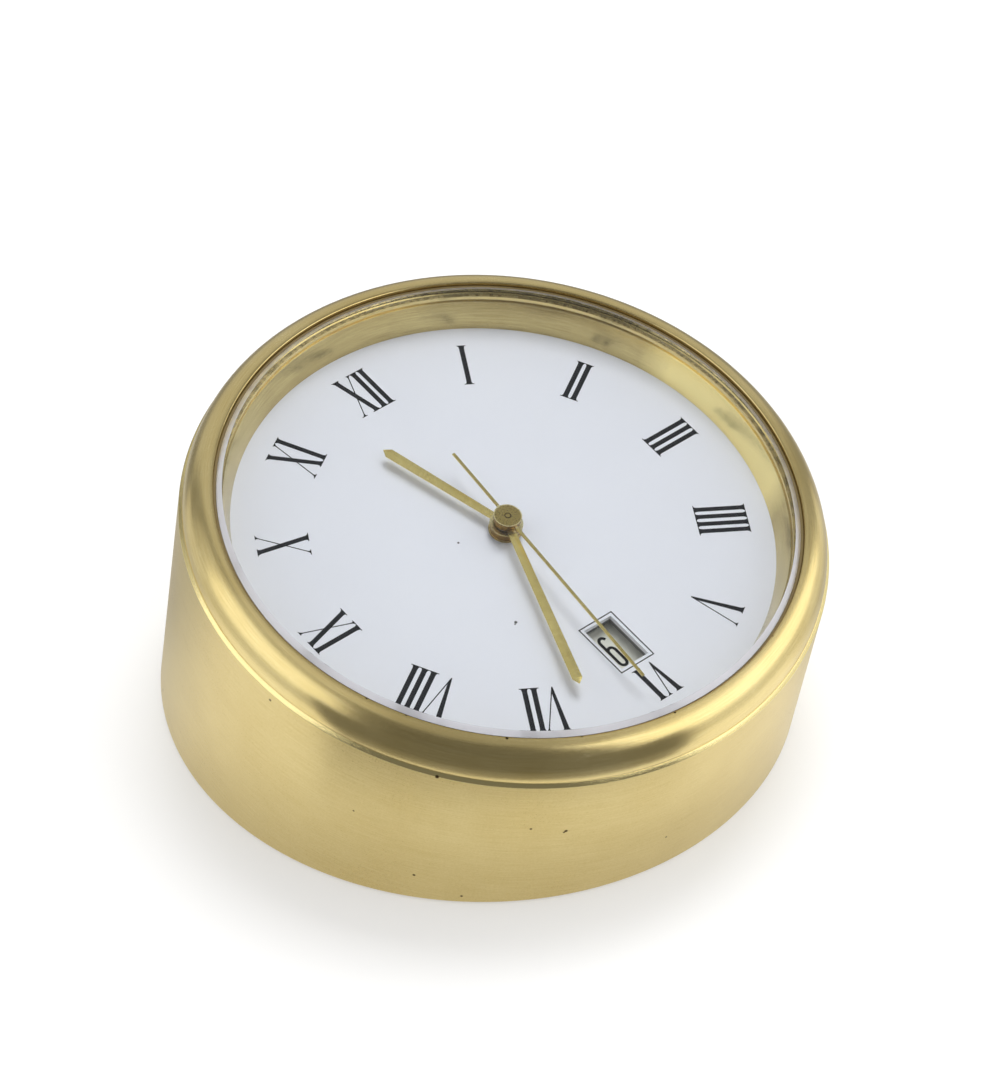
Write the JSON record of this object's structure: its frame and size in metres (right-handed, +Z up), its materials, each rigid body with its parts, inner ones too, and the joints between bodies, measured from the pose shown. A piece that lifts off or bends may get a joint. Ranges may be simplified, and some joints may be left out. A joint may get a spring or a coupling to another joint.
{
  "type": "desk clock with calendar",
  "caption": "Round brass desk clock with a slanted foot, domed-edge bezel, flat glass, Roman dial, three hands and a date window.",
  "frame": {"origin": "centre of the resting face, where the case axis meets the surface the clock stands on", "axes": "+Z up; +Y towards XII, the high side of the dial; +X towards III"},
  "size_m": [0.09, 0.0961, 0.0453],
  "materials": {
    "case_brass": "circumferentially brushed satin",
    "bezel_brass": "polished, lightly worn",
    "movement_brass": "satin",
    "hand_brass": "polished",
    "crystal_glass": "polished",
    "gasket_rubber": "matt",
    "foot_rubber": "matt",
    "reflector_brass": "satin spun",
    "dial_lacquer": "satin lacquer",
    "grey_plastic": "matt",
    "black_plastic": "fine spark-eroded grain",
    "white_plastic": "matt, printed",
    "gear_plastic": "moulded",
    "steel": "plated",
    "spring_steel": "bright",
    "motor_iron": "annealed",
    "coil_copper": "enamelled wire",
    "board_laminate": "solder resist",
    "chip_resin": "glob of resin",
    "cell_jacket": "plain sleeve",
    "contact_nickel": "nickel plated"
  },
  "bodies": {
    "clock": {"case_body": "case_brass", "foot_ring": "foot_rubber", "bezel_ring": "bezel_brass", "crystal": "crystal_glass", "crystal_gasket": "gasket_rubber", "reflector_ring": "reflector_brass", "dial_plate": "dial_lacquer", "dial_carrier": "grey_plastic", "date_ring_guard": "spring_steel", "guard_screws": "steel", "date_jumper": "spring_steel", "front_plate": "black_plastic", "carrier_screws": "steel", "stator_plate": "motor_iron", "coil_core": "motor_iron", "coil_bobbin": "white_plastic", "coil_winding": "coil_copper", "stator_screws": "steel", "train_bridge": "black_plastic", "circuit_board": "board_laminate", "timer_chip": "chip_resin", "quartz_can": "contact_nickel", "bridge_screws": "steel", "rear_housing": "black_plastic", "housing_screws": "steel", "battery_cell": "cell_jacket", "contact_positive": "contact_nickel", "contact_negative": "contact_nickel", "back_cover": "grey_plastic", "back_cover_screws": "steel"},
    "seconds": {"seconds_wheel": "movement_brass", "seconds_hand": "hand_brass"},
    "rotor": {"rotor": "gear_plastic"},
    "intermediate": {"intermediate_wheel": "gear_plastic"},
    "third": {"third_wheel": "gear_plastic"},
    "centre": {"centre_wheel": "gear_plastic"},
    "minutes": {"cannon_pinion": "movement_brass", "minute_hand": "hand_brass"},
    "minute_wheel": {"minute_wheel": "gear_plastic"},
    "hours": {"hour_wheel": "gear_plastic", "hour_hand": "hand_brass"},
    "date_wheel": {"date_wheel": "gear_plastic"},
    "date_ring": {"date_ring": "white_plastic"},
    "setting": {"set_arbor": "movement_brass", "set_knob": "white_plastic"},
    "door": {"battery_door": "black_plastic"}
  },
  "joints": [
    {"name": "seconds_spin", "type": "hinge", "parent": "clock", "child": "seconds", "pos_m": [0, -0.00719, 0.03768], "axis": [0, 0.1874, -0.9823], "continuous": true},
    {"name": "intermediate_spin", "type": "hinge", "parent": "clock", "child": "intermediate", "pos_m": [0.00308, -0.01549, 0.03609], "axis": [0, 0.1874, -0.9823], "continuous": true},
    {"name": "rotor_spin", "type": "hinge", "parent": "clock", "child": "rotor", "pos_m": [0.00547, -0.02196, 0.03486], "axis": [0, 0.1874, -0.9823], "continuous": true},
    {"name": "third_spin", "type": "hinge", "parent": "clock", "child": "third", "pos_m": [-0.00918, -0.00719, 0.03768], "axis": [0, 0.1874, -0.9823], "continuous": true},
    {"name": "centre_spin", "type": "hinge", "parent": "clock", "child": "centre", "pos_m": [0, -0.00719, 0.03768], "axis": [0, 0.1874, -0.9823], "continuous": true},
    {"name": "minute_spin", "type": "hinge", "parent": "clock", "child": "minutes", "pos_m": [0, -0.00719, 0.03768], "axis": [0, 0.1874, -0.9823], "continuous": true},
    {"name": "minute_wheel_spin", "type": "hinge", "parent": "clock", "child": "minute_wheel", "pos_m": [0.00693, -0.00326, 0.03843], "axis": [0, 0.1874, -0.9823], "continuous": true},
    {"name": "hour_spin", "type": "hinge", "parent": "clock", "child": "hours", "pos_m": [0, -0.00719, 0.03768], "axis": [0, 0.1874, -0.9823], "continuous": true},
    {"name": "date_wheel_spin", "type": "hinge", "parent": "clock", "child": "date_wheel", "pos_m": [-0.01212, -0.00031, 0.03899], "axis": [0, 0.1874, -0.9823], "continuous": true},
    {"name": "date_ring_spin", "type": "hinge", "parent": "clock", "child": "date_ring", "pos_m": [0, -0.00719, 0.03768], "axis": [0, 0.1874, -0.9823], "continuous": true},
    {"name": "setting_spin", "type": "hinge", "parent": "clock", "child": "setting", "pos_m": [0.01533, -0.00326, 0.03843], "axis": [0, 0.1874, -0.9823], "continuous": true},
    {"name": "battery_door_slide", "type": "slide", "parent": "clock", "child": "door", "axis": [0, 0.1874, -0.9823], "range_m": [0, 0.012]}
  ],
  "couplings": [
    {"joint": "intermediate_spin", "follows": "seconds_spin", "ratio": -5},
    {"joint": "rotor_spin", "follows": "seconds_spin", "ratio": 30},
    {"joint": "third_spin", "follows": "seconds_spin", "ratio": -0.13333},
    {"joint": "centre_spin", "follows": "seconds_spin", "ratio": 0.016667},
    {"joint": "minute_wheel_spin", "follows": "minute_spin", "ratio": -0.33333},
    {"joint": "hour_spin", "follows": "minute_spin", "ratio": 0.083333},
    {"joint": "date_wheel_spin", "follows": "minute_spin", "ratio": -0.041667},
    {"joint": "date_ring_spin", "follows": "minute_spin", "ratio": -0.0013441},
    {"joint": "setting_spin", "follows": "minute_spin", "ratio": 0.83333}
  ]
}
